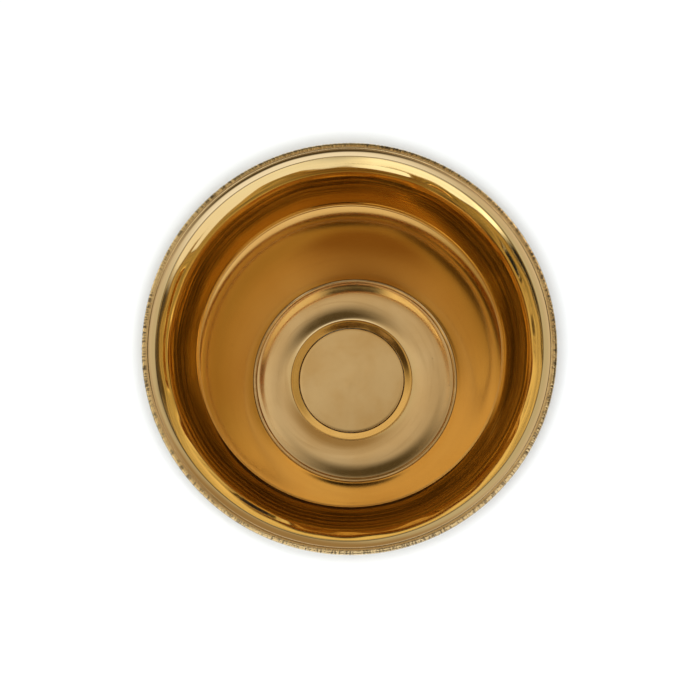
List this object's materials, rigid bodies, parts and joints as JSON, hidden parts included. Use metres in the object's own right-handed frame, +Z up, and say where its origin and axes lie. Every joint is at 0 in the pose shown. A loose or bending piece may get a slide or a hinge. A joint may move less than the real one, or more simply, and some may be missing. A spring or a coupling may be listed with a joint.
{
  "type": "brass urli bowl",
  "caption": "Deep brass bowl with a round belly, a narrower throat, a flared neck with fine turned ridges, a cut border round the lip and a flat base on a low foot ring.",
  "frame": {"origin": "centre of the circle that the foot ring rests on, at the lowest point of the bowl", "axes": "+Z up along the bowl's axis; the bowl is round, and +X points across it"},
  "size_m": [0.25, 0.25, 0.2039],
  "materials": {
    "rim_border": "chased, tarnished in the cuts",
    "neck": "polished, turned ridges",
    "belly": "polished inside, brushed outside",
    "shoulder_braze": "filed filler",
    "base_pan": "turned, dull polish",
    "base_braze_band": "filed filler",
    "centre_disc": "flat, fine wear marks",
    "disc_solder": "dark solder line",
    "foot_ring": "turned, worn",
    "foot_braze": "filed filler"
  },
  "bodies": {
    "root": {"rim_border": "rim_border", "neck": "neck", "belly": "belly", "shoulder_braze": "shoulder_braze", "base_pan": "base_pan", "base_braze_band": "base_braze_band", "centre_disc": "centre_disc", "disc_solder": "disc_solder", "foot_ring": "foot_ring", "foot_braze": "foot_braze"}
  },
  "joints": []
}
